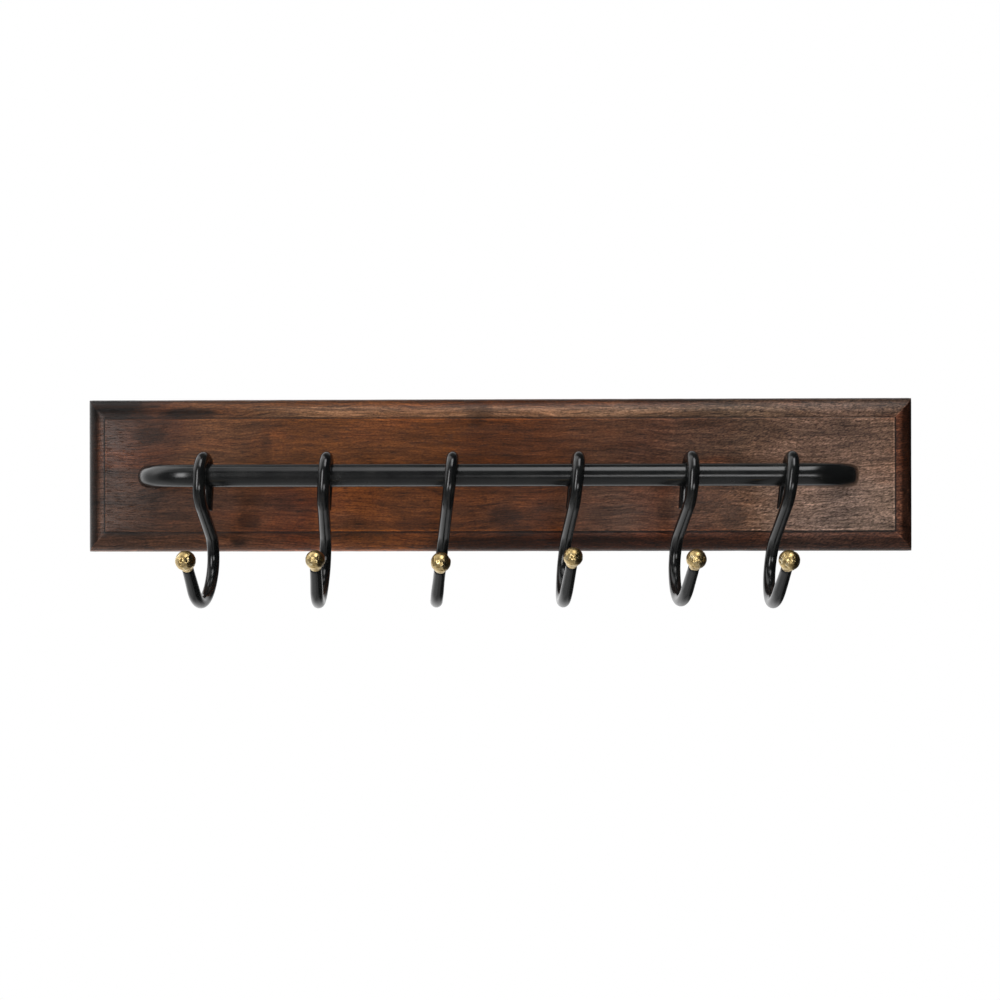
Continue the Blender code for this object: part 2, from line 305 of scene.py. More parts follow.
class Graph:
    """A node tree under construction, with short calls for its nodes."""

    def __init__(self, tree):
        self.tree = tree

    def node(self, kind, **settings):
        node = self.tree.nodes.new(kind)
        for key, value in settings.items():
            setattr(node, key, value)
        return node

    def feed(self, socket, value):
        if isinstance(value, bpy.types.NodeSocket):
            self.tree.links.new(value, socket)
        else:
            socket.default_value = value

    def calc(self, operation, *values):
        node = self.node("ShaderNodeMath", operation=operation)
        for socket, value in zip(node.inputs, values):
            self.feed(socket, value)
        return node.outputs[0]

    def times(self, first, *others):
        for other in others:
            first = self.calc("MULTIPLY", first, other)
        return first

    def plus(self, first, *others):
        for other in others:
            first = self.calc("ADD", first, other)
        return first

    def minus(self, a, b):
        return self.calc("SUBTRACT", a, b)

    def stretched(self, vector, scales):
        """A vector times a vector."""
        node = self.node("ShaderNodeVectorMath", operation="MULTIPLY")
        self.feed(node.inputs[0], vector)
        self.feed(node.inputs[1], scales)
        return node.outputs[0]

    def place(self):
        return self.node("ShaderNodeTexCoord").outputs["Object"]

    def split(self, vector):
        node = self.node("ShaderNodeSeparateXYZ")
        self.feed(node.inputs[0], vector)
        return node.outputs

    def join(self, x, y, z):
        node = self.node("ShaderNodeCombineXYZ")
        for socket, value in zip(node.inputs, (x, y, z)):
            self.feed(socket, value)
        return node.outputs[0]

    def noise(self, vector, scale=1.0, detail=3.0, rough=0.5, distortion=0.0):
        node = self.node("ShaderNodeTexNoise")
        self.feed(node.inputs["Vector"], vector)
        for key, value in (
            ("Scale", scale),
            ("Detail", detail),
            ("Roughness", rough),
            ("Distortion", distortion),
        ):
            self.feed(node.inputs[key], value)
        return node.outputs["Fac"]

    def span(self, value, low, high, to_low=0.0, to_high=1.0, smoothly=True):
        """value from low..high mapped to to_low..to_high, clamped."""
        node = self.node("ShaderNodeMapRange")
        node.interpolation_type = "SMOOTHSTEP" if smoothly else "LINEAR"
        for key, number in (
            ("Value", value),
            ("From Min", low),
            ("From Max", high),
            ("To Min", to_low),
            ("To Max", to_high),
        ):
            self.feed(node.inputs[key], number)
        return node.outputs[0]

    def ramp(self, value, stops):
        node = self.node("ShaderNodeValToRGB")
        elements = node.color_ramp.elements
        while len(elements) < len(stops):
            elements.new(0.5)
        for element, (position, colour) in zip(elements, stops):
            element.position = position
            element.color = colour
        self.feed(node.inputs[0], value)
        return node.outputs[0]

    def mix(self, amount, a, b):
        node = self.node("ShaderNodeMix", data_type="RGBA")
        self.feed(node.inputs[0], amount)
        self.feed(node.inputs[6], a)
        self.feed(node.inputs[7], b)
        return node.outputs[2]

    def shade(self, colour, factor):
        """The colour times a number."""
        if not isinstance(colour, bpy.types.NodeSocket):
            colour = tuple(colour)[:3]
        return self.stretched(colour, self.join(factor, factor, factor))

    def bump(self, height, distance, strength, under=None):
        node = self.node("ShaderNodeBump")
        self.feed(node.inputs["Height"], height)
        self.feed(node.inputs["Distance"], distance)
        self.feed(node.inputs["Strength"], strength)
        if under is not None:
            self.feed(node.inputs["Normal"], under)
        return node.outputs[0]


class Finish(Graph):
    """A material under construction, from its Principled shader."""

    def __init__(self, name):
        self.material = bpy.data.materials.new(name)
        self.material.use_nodes = True
        super().__init__(self.material.node_tree)
        self.shader = self.tree.nodes["Principled BSDF"]

    def set(self, **inputs):
        for key, value in inputs.items():
            self.feed(self.shader.inputs[key.replace("_", " ")], value)
        return self.material


# ---------------------------------------------------------------------------
# Finishes
# ---------------------------------------------------------------------------

# The stained wood's colour at places along the board (mm), above and below. Toward the right
# end the tones are lighter and greyer: a painted sheen over the stain's colour.
UPPER_TONES = (
    (-290, (52, 31, 21)),
    (-245, (69, 38, 21)),
    (-223, (89, 54, 30)),
    (-180, (76, 45, 23)),
    (-148, (81, 44, 15)),
    (-83, (88, 49, 21)),
    (-45, (85, 46, 18)),
    (-18, (73, 37, 13)),
    (36, (75, 40, 19)),
    (79, (73, 46, 31)),
    (111, (70, 43, 30)),
    (176, (70, 51, 39)),
    (198, (84, 61, 47)),
    (240, (106, 81, 67)),
    (295, (96, 73, 59)),
)
LOWER_TONES = (
    (-290, (58, 38, 28)),
    (-245, (63, 38, 24)),
    (-180, (75, 44, 27)),
    (-148, (73, 33, 12)),
    (-115, (102, 54, 21)),
    (-83, (82, 43, 14)),
    (-18, (80, 42, 16)),
    (33, (76, 38, 15)),
    (79, (78, 52, 38)),
    (111, (77, 45, 30)),
    (176, (95, 67, 50)),
    (195, (110, 84, 68)),
    (240, (129, 105, 92)),
    (295, (103, 83, 70)),
)
# Dark smudges and knots in the board: x, z, half width, half height (mm), depth.
SMUDGES = (
    (-17, 48, 11, 7, 0.55),
    (-16, 40, 5, 4, 0.45),
    (-228, 46, 22, 4, 0.80),
    (-283, 51, 28, 9, 0.85),
    (-258, 30, 12, 5, 0.55),
    (-172, 20, 5, 11, 0.50),
    (-170, 8, 8, 5, 0.35),
    (-184, -33, 8, 6, 0.50),
    (-192, -49, 6, 3, 0.70),
    (-236, -28, 10, 4, 0.35),
    (-158, -22, 7, 5, 0.30),
    (3, -30, 11, 7, 0.55),
    (12, -42, 14, 6, 0.45),
    (-62, -36, 16, 5, 0.25),
    (44, -22, 16, 7, 0.35),
    (172, -33, 8, 9, 0.45),
    (122, -26, 7, 9, 0.40),
    (205, -20, 8, 6, 0.25),
    (252, 34, 14, 6, 0.32),
    (196, 28, 12, 5, 0.25),
    (95, 20, 22, 4, 0.30),
    (-70, 28, 18, 3, 0.22),
    (-30, 12, 22, 3, 0.25),
    (66, -47, 26, 4, 0.35),
)
# How deeply each layer of the grain marks the tone, as a share of it.
GRAIN_DEPTHS = {"bands": 0.32, "veins": 0.60, "fibre": 0.80}
RED_DRIFT = srgb(100, 50, 22)
BLACK_DRIFT = srgb(50, 36, 29)
RED_MOULDING = srgb(112, 56, 32)
# The pale of the painted highlight on the moulding's top side.
HIGHLIGHT_PALE = srgb(160, 128, 100)
SAWN_BACK = srgb(132, 98, 70)


def wood_finish():
    """Dark stained hardwood: tones, smudges and grain, then the marks that
    follow the moulding, painted shade and highlights among them, which all depend on the
    distance from the board's edge."""
    f = Finish("dark_stained_wood")
    place = f.place()
    x, y, z = f.split(place)
    # How far in from the board's edges a point lies.
    in_x = f.minus(BOARD_WIDTH / 2, f.calc("ABSOLUTE", x))
    in_z = f.minus(BOARD_HEIGHT / 2, f.calc("ABSOLUTE", z))
    inset = f.calc("MINIMUM", in_x, in_z)
    # The moulding's marks stop short of the flat back.
    front = f.span(y, -1.0 * MM, -2.5 * MM)

    # Slow waves lift and lower the grain as it runs along the board.
    wave = f.noise(f.join(f.times(x, 7.0), y, f.times(z, 16.0)), 1.0, 2.0)
    wave = f.times(f.minus(wave, 0.5), 0.030)
    ripple = f.noise(f.stretched(place, (46.0, 20.0, 60.0)), 1.0, 2.0)
    ripple = f.times(f.minus(ripple, 0.5), 0.0022)
    across = f.plus(z, wave, ripple)

    def streaks(along, over, deep, detail, rough=0.55):
        spot = f.join(f.times(x, along), f.times(y, deep), f.times(across, over))
        return f.noise(spot, 1.0, detail, rough)

    bands = streaks(5.0, 110.0, 40.0, 3.0)
    veins = streaks(15.0, 360.0, 200.0, 4.0, 0.7)
    fibre = streaks(45.0, 800.0, 300.0, 4.0, 0.7)
    pores = streaks(120.0, 1500.0, 900.0, 2.0, 0.6)
    patches = f.noise(f.stretched(place, (16.0, 9.0, 34.0)), 1.0, 4.0, 0.6)

    # Base colour along the board, for the upper half and for the lower.
    along = f.plus(x, f.times(f.minus(patches, 0.5), 0.11))
    low, high = BOARD_LOW.x, BOARD_HIGH.x

    def tones(stops):
        return f.ramp(
            f.span(along, low, high, smoothly=False),
            [((at * MM - low) / (high - low), srgb(*colour)) for at, colour in stops],
        )

    upper = tones(UPPER_TONES)
    lower = tones(LOWER_TONES)
    base = f.mix(f.span(f.plus(z, wave), 10 * MM, -16 * MM), upper, lower)

    # Redder drifts, and blacker ones.
    drift = f.noise(f.stretched(place, (10.0, 9.0, 42.0)), 1.0, 3.0, 0.6)
    base = f.mix(f.span(drift, 0.52, 0.74, 0.0, 0.45), base, RED_DRIFT)
    base = f.mix(f.span(drift, 0.46, 0.28, 0.0, 0.45), base, BLACK_DRIFT)

    # Knots and smudges.
    dark = None
    for at_x, at_z, wide, tall, depth in SMUDGES:
        off_x = f.calc("DIVIDE", f.minus(x, at_x * MM), wide * MM)
        off_z = f.calc("DIVIDE", f.minus(z, at_z * MM), tall * MM)
        reach = f.plus(f.times(off_x, off_x), f.times(off_z, off_z))
        ragged = f.calc("MULTIPLY_ADD", f.minus(patches, 0.5), 3.0, reach)
        spot = f.span(ragged, 1.7, 0.1, 0.0, depth)
        dark = spot if dark is None else f.calc("MAXIMUM", dark, spot)
    dark = f.times(dark, f.span(veins, 0.3, 0.65, 0.65, 1.1))
    shade = f.minus(1.0, dark)

    # Bands, veins, fibres and pores.
    for name, grain in (("bands", bands), ("veins", veins), ("fibre", fibre)):
        depth = GRAIN_DEPTHS[name]
        shade = f.times(shade, f.span(grain, 0.25, 0.75, 1 - depth, 1 + depth, False))
    shade = f.times(shade, f.span(pores, 0.36, 0.46, 0.40, 1.0))
    speck = f.noise(f.stretched(place, (520.0, 700.0, 1100.0)), 1.0, 2.0, 0.6)
    shade = f.times(shade, f.span(speck, 0.3, 0.7, 0.60, 1.40, False))
    # Curly figure, stronger to the right: short slanting flecks.
    slant = f.join(
        f.plus(f.times(x, 240.0), f.times(z, 330.0)),
        0.0,
        f.minus(f.times(z, 900.0), f.times(x, 420.0)),
    )
    curl = f.noise(slant, 1.0, 3.0, 0.6, 0.8)
    curl_amount = f.span(along, 40 * MM, 200 * MM, 0.18, 0.85)
    curl = f.minus(f.span(curl, 0.3, 0.7, 0.0, 2.0, False), 1.0)
    shade = f.times(shade, f.calc("MULTIPLY_ADD", curl, curl_amount, 1.0))

    # The moulding: dark end grain at its ends, with painted shade on the right end and the
    # lower right side and a painted highlight near the step on the left end; a painted shade
    # line in the step; painted highlights along the panel's arris and the mitres; and lighter
    # along the lower side toward the left.
    in_moulding = f.span(inset, MOULDING_WIDTH, MOULDING_WIDTH - 1.0 * MM)
    in_moulding = f.times(in_moulding, front)
    at_end = f.span(f.minus(in_z, in_x), -0.5 * MM, 0.5 * MM)
    at_foot = f.span(z, -20 * MM, -40 * MM)
    off_end = f.minus(1.0, at_end)
    at_head = f.times(f.span(z, 20 * MM, 40 * MM), off_end)
    to_right = f.span(x, -0.1, 0.1)
    # How dark each side is, near its outer edge and near the step.
    near_step = f.span(inset, 7.5 * MM, 11.0 * MM)
    # The left end: dark end grain at its outer edge, and a painted highlight band near the
    # step.
    left_end_grain_and_highlight = f.span(near_step, 0.0, 1.0, 0.66, -0.40, False)
    # The right end: dark end grain, deepened by painted shade.
    right_end_grain_and_shade = f.span(near_step, 0.0, 1.0, 0.86, 0.50, False)
    # The lower side: lighter toward the left, and painted shade toward the right.
    left_foot = f.span(inset, 13.0 * MM, 4.0 * MM, -0.05, -0.75)
    right_foot_shade = f.span(inset, 13.5 * MM, 8.0 * MM, 0.35, 0.74)
    end_depth = f.times(at_end, f.span(to_right, 0.0, 1.0, left_end_grain_and_highlight, right_end_grain_and_shade, False))
    across_foot = f.span(along, -80 * MM, -10 * MM, left_foot, right_foot_shade)
    foot_depth = f.times(at_foot, across_foot, off_end)
    head_depth = f.times(at_head, f.span(x, 0.05, 0.25, 0.0, 0.45))
    depth = f.times(in_moulding, f.plus(end_depth, foot_depth, head_depth))
    reddish = f.times(in_moulding, f.calc("MAXIMUM", at_end, at_foot), to_right, 0.60)
    base = f.mix(reddish, base, RED_MOULDING)
    # The top side carries a painted highlight, pale between its edge and the step.
    painted_highlight = f.times(f.span(inset, 4.0 * MM, 7.5 * MM), in_moulding, at_head)
    painted_highlight = f.times(painted_highlight, f.span(x, -0.2, -0.14), f.span(x, 0.18, 0.26, 1.0, 0.0))
    painted_highlight = f.times(painted_highlight, f.span(veins, 0.3, 0.6, 0.5, 1.0))
    base = f.mix(f.times(painted_highlight, 0.24), base, HIGHLIGHT_PALE)
    shade = f.times(shade, f.minus(1.0, depth))

    def line(value, at, reach, depth):
        """depth where value is at, fading out at reach to either side."""
        gap = f.calc("ABSOLUTE", f.minus(value, at))
        return f.span(gap, reach, f.times(reach, 0.25), 0.0, depth)

    broken = f.span(veins, 0.3, 0.6, 0.45, 1.0)
    # The dark line in the step is painted shade in its recess, deeper at the ends and toward
    # the lower right.
    strong_step_shade = f.calc("MAXIMUM", at_end, f.times(at_foot, f.span(to_right, 0, 1, 0.2, 0.8)))
    step_shade_depth = f.span(strong_step_shade, 0, 1, 0.48, 0.85)
    step = line(inset, MOULDING_WIDTH - 0.35 * MM, 1.2 * MM, step_shade_depth)
    rim = f.span(inset, 4.2 * MM, 1.0 * MM, 0.0, f.span(at_foot, 0.0, 1.0, 0.62, 0.0))
    # A painted highlight along the panel's arris at the foot of the step, broken by the grain.
    edge = f.times(line(inset, MOULDING_WIDTH + 0.95 * MM, 0.9 * MM, 0.75), broken)
    # A painted highlight along the mitres, broken by the grain.
    mitre_highlight = line(f.minus(in_x, in_z), 0.0, 0.6 * MM, 0.9)
    mitre_highlight = f.times(mitre_highlight, in_moulding, broken)
    # Lighter along the lower edge's outer rim, toward the left.
    pale_lower_rim = f.times(f.span(inset, 1.5 * MM, 0.5 * MM), f.span(x, 0.1, 0.0, 0.0, 1.1))
    pale_lower_rim = f.times(pale_lower_rim, at_foot)
    for dark_mark in (step, rim):
        shade = f.times(shade, f.minus(1.0, f.times(dark_mark, front)))
    for light_mark in (edge, mitre_highlight, pale_lower_rim):
        shade = f.times(shade, f.plus(1.0, f.times(light_mark, front)))

    colour = f.shade(base, shade)
    # The back is sawn and only washed with stain.
    back = f.span(y, -3.0 * MM, -0.5 * MM)
    raw = f.shade(SAWN_BACK, f.times(f.calc("POWER", shade, 0.6), 1.05))
    colour = f.mix(f.times(back, 0.6), colour, raw)

    height = f.plus(f.times(fibre, 0.5), f.span(pores, 0.36, 0.46, 0.0, 0.6))
    height = f.plus(height, f.times(curl, f.times(curl_amount, 0.5)))
    normal = f.bump(bands, 0.25 * MM, 0.35)
    normal = f.bump(height, 0.12 * MM, 0.8, normal)
    rough = f.span(patches, 0.2, 0.8, 0.27, 0.38, False)
    return f.set(
        Base_Color=colour,
        Roughness=rough,
        Normal=normal,
        IOR=1.48,
        Specular_IOR_Level=0.24,
    )


def iron_finish(name, roughness):
    """Black lacquer over worked iron."""
    f = Finish(name)
    place = f.place()
    cloud = f.noise(place, 60.0, 3.0, 0.55)
    speck = f.noise(place, 900.0, 3.0, 0.6)
    fine = f.noise(place, 2600.0, 2.0, 0.5)
    colour = f.ramp(
        cloud,
        ((0.3, srgb(10, 11, 12)), (0.55, srgb(16, 17, 17)), (0.75, srgb(24, 24, 23))),
    )
    rough = f.span(cloud, 0.3, 0.7, roughness, roughness + 0.08, False)
    rough = f.plus(rough, f.span(speck, 0.45, 0.7, 0.0, 0.06))
    normal = f.bump(cloud, 0.10 * MM, 0.25)
    normal = f.bump(speck, 0.004 * MM, 0.5, normal)
    normal = f.bump(fine, 0.001 * MM, 0.4, normal)
    return f.set(Base_Color=colour, Roughness=rough, Normal=normal, IOR=1.5)


def brass_finish():
    """Unpolished cast brass, dark in its pits and worn bright on its high spots."""
    f = Finish("rough_brass")
    place = f.place()
    wear = f.node("ShaderNodeAttribute", attribute_name="wear").outputs["Fac"]
    stain = f.noise(place, 240.0, 4.0, 0.6)
    grit = f.noise(place, 1500.0, 3.0, 0.6)
    tone = f.plus(f.times(wear, 0.6), f.times(stain, 0.4))
    colour = f.ramp(
        tone,
        (
            (0.27, srgb(64, 50, 30)),
            (0.42, srgb(134, 110, 68)),
            (0.58, srgb(204, 178, 124)),
            (0.74, srgb(252, 242, 208)),
        ),
    )
    rough = f.span(tone, 0.3, 0.75, 0.44, 0.20, False)
    normal = f.bump(stain, 0.5 * MM, 0.35)
    normal = f.bump(grit, 0.08 * MM, 0.5, normal)
    return f.set(Base_Color=colour, Roughness=rough, Metallic=1.0, Normal=normal)


def zinc_finish():
    """Zinc-plated steel, brushed a little and clouded."""
    f = Finish("zinc_plate")
    place = f.place()
    bloom = f.noise(place, 300.0, 3.0, 0.6)
    brush = f.noise(f.stretched(place, (3000.0, 800.0, 200.0)), 1.0, 2.0)
    colour = f.ramp(
        bloom,
        ((0.3, srgb(150, 148, 138)), (0.6, srgb(190, 189, 182)), (0.8, srgb(206, 204, 190))),
    )
    rough = f.span(brush, 0.3, 0.7, 0.26, 0.42, False)
    normal = f.bump(brush, 0.01 * MM, 0.5)
    return f.set(Base_Color=colour, Roughness=rough, Metallic=1.0, Normal=normal)


WOOD = wood_finish()
RAIL_IRON = iron_finish("rail_black_iron", 0.15)
HOOK_IRON = iron_finish("hook_black_iron", 0.12)
BRASS = brass_finish()
ZINC = zinc_finish()


def dress(obj, material, node, body):
    """Finishes a piece: material, the CAD node it stands for, and its body."""
    obj.data.materials.clear()
    obj.data.materials.append(material)
    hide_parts(node)
    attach(obj, body)


# ---------------------------------------------------------------------------
# Backboard
# ---------------------------------------------------------------------------


def board_section():
    """(inset from the edge, y) from the back edge round to the front panel."""
    slab_front = FRONT_Y + MOULDING_DEPTH
    drop = MOULDING_DEPTH - MOULDING_STEP
    arris = 0.7 * MM
    section = [(arris, 0.0)]
    for i in range(1, 5):
        angle = math.radians(90.0 * i / 4)
        section.append((arris * (1 - math.sin(angle)), -arris * (1 - math.cos(angle))))
    section.append((0.0, slab_front + 0.6 * MM))
    for i in range(1, 33):
        angle = math.radians(90.0 * i / 32)
        section.append(
            (MOULDING_WIDTH * (1.0 - math.cos(angle)), slab_front - drop * math.sin(angle))
        )
    # Foot of the step, its face and its slightly worn arris.
    step_foot = FRONT_Y + MOULDING_STEP
    section += [
        (MOULDING_WIDTH + 0.05 * MM, step_foot),
        (MOULDING_WIDTH + 0.12 * MM, step_foot - 0.4 * MM),
    ]
    worn = 0.45 * MM
    for i in range(5):
        angle = math.radians(90.0 * i / 4)
        section.append(
            (
                MOULDING_WIDTH + 0.2 * MM + worn * (1 - math.cos(angle)),
                FRONT_Y + worn * (1 - math.sin(angle)),
            )
        )
    return section


def board_ring(inset, y):
    """A rectangle of points at one inset, its corners eased, its sides uneven.

    The hand-cut board is a little taller and wider toward its right end."""
    half_x = BOARD_WIDTH / 2 - inset
    half_z = BOARD_HEIGHT / 2 - inset
    count_x = round(BOARD_WIDTH / BOARD_STRIDE)
    count_z = round(BOARD_HEIGHT / BOARD_STRIDE)
    outline = []
    for sx, sz, dx, dz, count, full in (
        (-1, -1, 1, 0, count_x, half_x),
        (1, -1, 0, 1, count_z, half_z),
        (1, 1, -1, 0, count_x, half_x),
        (-1, 1, 0, -1, count_z, half_z),
    ):
        for i in range(count):
            run = 2 * full * (i / count)
            outline.append(Vector((sx * half_x + dx * run, y, sz * half_z + dz * run)))
    ring = []
    for point in outline:
        near_x = half_x - abs(point.x)
        near_z = half_z - abs(point.z)
        if near_x < 1e-6 and near_z < 1e-6:
            point = point - Vector(
                (math.copysign(CORNER_CUT, point.x), 0, math.copysign(CORNER_CUT, point.z))
            )
        flat = Vector((point.x, 0.0, point.z))
        wander = sum(
            amount * noise.noise(flat * scale) for amount, scale in (SLOW_WANDER, FINE_WANDER)
        )
        outward = Vector(
            (
                math.copysign(1.0, point.x) if near_x < near_z else 0.0,
                0.0,
                math.copysign(1.0, point.z) if near_z <= near_x else 0.0,
            )
        )
        point = point - outward * (abs(wander) if inset < 1 * MM else wander)
        outer = 1.0 - min(1.0, inset / MOULDING_WIDTH)
        along = 0.5 + point.x / BOARD_WIDTH
        rise = GROWN_TOP * along if point.z > 0 else -GROWN_FOOT * (0.25 + 0.75 * along)
        ring.append(point + outer * Vector((GROWN_END * max(0.0, 2 * along - 1), 0.0, rise)))
    return ring


def make_board():
    board = new_object(
        "board_moulded",
        mesh_of_rings("board_moulded", [board_ring(*place) for place in board_section()]),
    )
    seat_end = FRONT_Y + SEAT_DEPTH
    for x in LEG_X:
        for name, radius, y_from, y_to in (
            ("seat", SEAT_RADIUS, FRONT_Y - MM, seat_end),
            ("counterbore", COUNTERBORE_RADIUS, MM, -COUNTERBORE_DEPTH),
            ("through", STUD_RADIUS + 0.3 * MM, MM - COUNTERBORE_DEPTH, seat_end - MM),
        ):
            boolean(board, drum(name, Vector((x, 0.0, RAIL_Z)), radius, y_from, y_to))
    for word in ("left", "right"):
        node = f"hanger_plate_{word}"
        centre, extent = middle(node), size(node)
        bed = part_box(node)[0][1] - MORTISE_GAP
        for name, place, cut, rounding in (
            (
                "mortise",
                (centre.x, (MM + bed) / 2, centre.z),
                (extent.x + 2 * MORTISE_GAP, MM - bed, extent.z + 2 * MORTISE_GAP),
                2.3 * MM,
            ),
            (
                "pocket",
                (centre.x, (MM - POCKET.y) / 2, POCKET_RISE),
                (POCKET.x, POCKET.y + MM, POCKET.z),
                3.0 * MM,
            ),
        ):
            boolean(board, block(name, place, cut, rounding))
        for end in ("top", "bottom"):
            spot = middle(f"hanger_screw_{word}_{end}")
            boolean(board, drum("pilot", spot, PILOT_RADIUS, bed + MM, PILOT_END, 24))
    settled(board)
    smooth(board.data, 32)
    dress(board, WOOD, "backboard", "rack")


# ---------------------------------------------------------------------------
# Rail, washers and nuts
# ---------------------------------------------------------------------------


def make_rail():
    shoulder = FRONT_Y + SEAT_DEPTH - SHOULDER_GAP
    leg = shoulder - (RAIL_Y + RAIL_BEND)
    straight = LEG_X[1] - LEG_X[0] - 2 * RAIL_BEND
    path = trace(
        (LEG_X[0], shoulder),
        -90.0,
        ((leg,), (RAIL_BEND, 90.0), (straight,), (RAIL_BEND, 90.0), (leg,)),
        step=2.5,
        stride=2.0 * MM,
    )
    sides = 56
    rings = []

    def ring(point, heading, radius, worked=0.0, beaten=0.0):
        """beaten, from 0 to 1, makes the round squarer and a little taller."""
        across = way_at(heading + 90).to_3d()
        centre = Vector((point.x, point.y, RAIL_Z))
        power = 2.0 + 0.9 * beaten
        places = []
        for j in range(sides):
            angle = 2 * math.pi * j / sides
            c, s = math.cos(angle), math.sin(angle)
            swell = (abs(c) ** power + abs(s) ** power) ** (-1.0 / power)
            out = (across * c + Vector((0, 0, s * (1 + 0.02 * beaten)))) * swell
            reach = grown(radius, centre + out * radius, 3.0, 0.07 * MM * worked, 34.0)
            places.append(centre + out * reach)
        rings.append(places)

    stud_thread(ring, *path[0], shoulder, up=False)
    ring(path[0][0], -90.0, RAIL_RADIUS - SHOULDER_CHAMFER, worked=0.5)
    for point, heading in path[1:-1]:
        turned = min(1.0, abs(heading) / 60.0)
        out_of_seat = min(1.0, max(0.0, (FRONT_Y - MM - point.y) / (9.0 * MM)))
        # The right bend was beaten harder than the left one.
        weight = 1.0 if point.x > 0 else 0.35
        ring(point, heading, RAIL_RADIUS, 1.0, weight * turned * out_of_seat)
    ring(path[-1][0], 90.0, RAIL_RADIUS - SHOULDER_CHAMFER, worked=0.5)
    stud_thread(ring, *path[-1], shoulder, up=True)
    rail = new_object("rail_round_bar", mesh_of_rings("rail_round_bar", rings))
    smooth(rail.data, 35)
    dress(rail, RAIL_IRON, "rail_bar", "rack")


def stud_thread(ring, point, heading, shoulder, up):
    """Rings of a stud with shallow V grooves, in order along the path."""
    root = STUD_RADIUS - 0.62 * MM
    crest = STUD_RADIUS - 0.05 * MM
    thread_end = -COUNTERBORE_DEPTH - 4 * MM
    y = STUD_END - 0.5 * MM
    places = [(STUD_END, STUD_RADIUS - 0.7 * MM), (y, STUD_RADIUS - 0.2 * MM)]
    while y - STUD_PITCH > thread_end:
        places.append((y - 0.45 * STUD_PITCH, root))
        places.append((y - 0.9 * STUD_PITCH, crest))
        places.append((y - STUD_PITCH, crest))
        y -= STUD_PITCH
    places.append((shoulder + 0.02 * MM, crest))
    for y, radius in places[::-1] if up else places:
        ring(Vector((point.x, y)), heading, radius)


def make_rail_fixings():
    """A washer and a nut on each stud, at the foot of its counterbore."""
    for word in ("left", "right"):
        node = f"rail_washer_{word}"
        (_, near_y, _), (_, far_y, _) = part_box(node)
        spot, extent = middle(node), size(node)
        through = (near_y - MM, far_y + MM)
        washer = drum(f"rail_washer_ring_{word}", spot, extent.x / 2, near_y, far_y, 96)
        boolean(washer, drum("bore", spot, STUD_RADIUS + 0.3 * MM, *through))
        settled(washer)
        ease(washer, 0.2 * MM, 3)
        dress(washer, ZINC, node, "rack")

        node = f"rail_nut_{word}"
        (_, near_y, _), (_, far_y, _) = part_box(node)
        spot, extent = middle(node), size(node)
        through = (near_y - MM, far_y + MM)
        nut = drum(f"rail_nut_hex_{word}", spot, extent.z / 2, near_y, far_y, 6)
        # The corners are turned off at the end that shows.
        turned = drum(
            "turned",
            spot,
            extent.x * 0.66,
            near_y - 1.6 * MM,
            far_y + 0.05 * MM,
            96,
            far_radius=extent.x * 0.47,
        )
        boolean(nut, turned, "INTERSECT")
        boolean(nut, drum("bore", spot, STUD_RADIUS + 0.25 * MM, *through))
        countersink = drum(
            "countersink",
            spot,
            STUD_RADIUS + 1.3 * MM,
            far_y + 0.5 * MM,
            far_y - 0.8 * MM,
            far_radius=STUD_RADIUS + 0.1 * MM,
        )
        boolean(nut, countersink)
        settled(nut)
        smooth(nut.data, 25)
        dress(nut, ZINC, node, "rack")


def ease(obj, width, segments):
    """Rounds a piece's sharp edges."""
    bm = bmesh.new()
    bm.from_mesh(obj.data)
    bmesh.ops.dissolve_limit(bm, angle_limit=math.radians(1.0), verts=bm.verts, edges=bm.edges)
    sharp = [
        edge
        for edge in bm.edges
        if len(edge.link_faces) == 2 and edge.calc_face_angle() > math.radians(40)
    ]
    bmesh.ops.bevel(
        bm, geom=sharp, offset=width, segments=segments, profile=0.5, affect="EDGES"
    )
    bm.to_mesh(obj.data)
    bm.free()
    smooth(obj.data, 40)


# ---------------------------------------------------------------------------
# Hooks
# ---------------------------------------------------------------------------


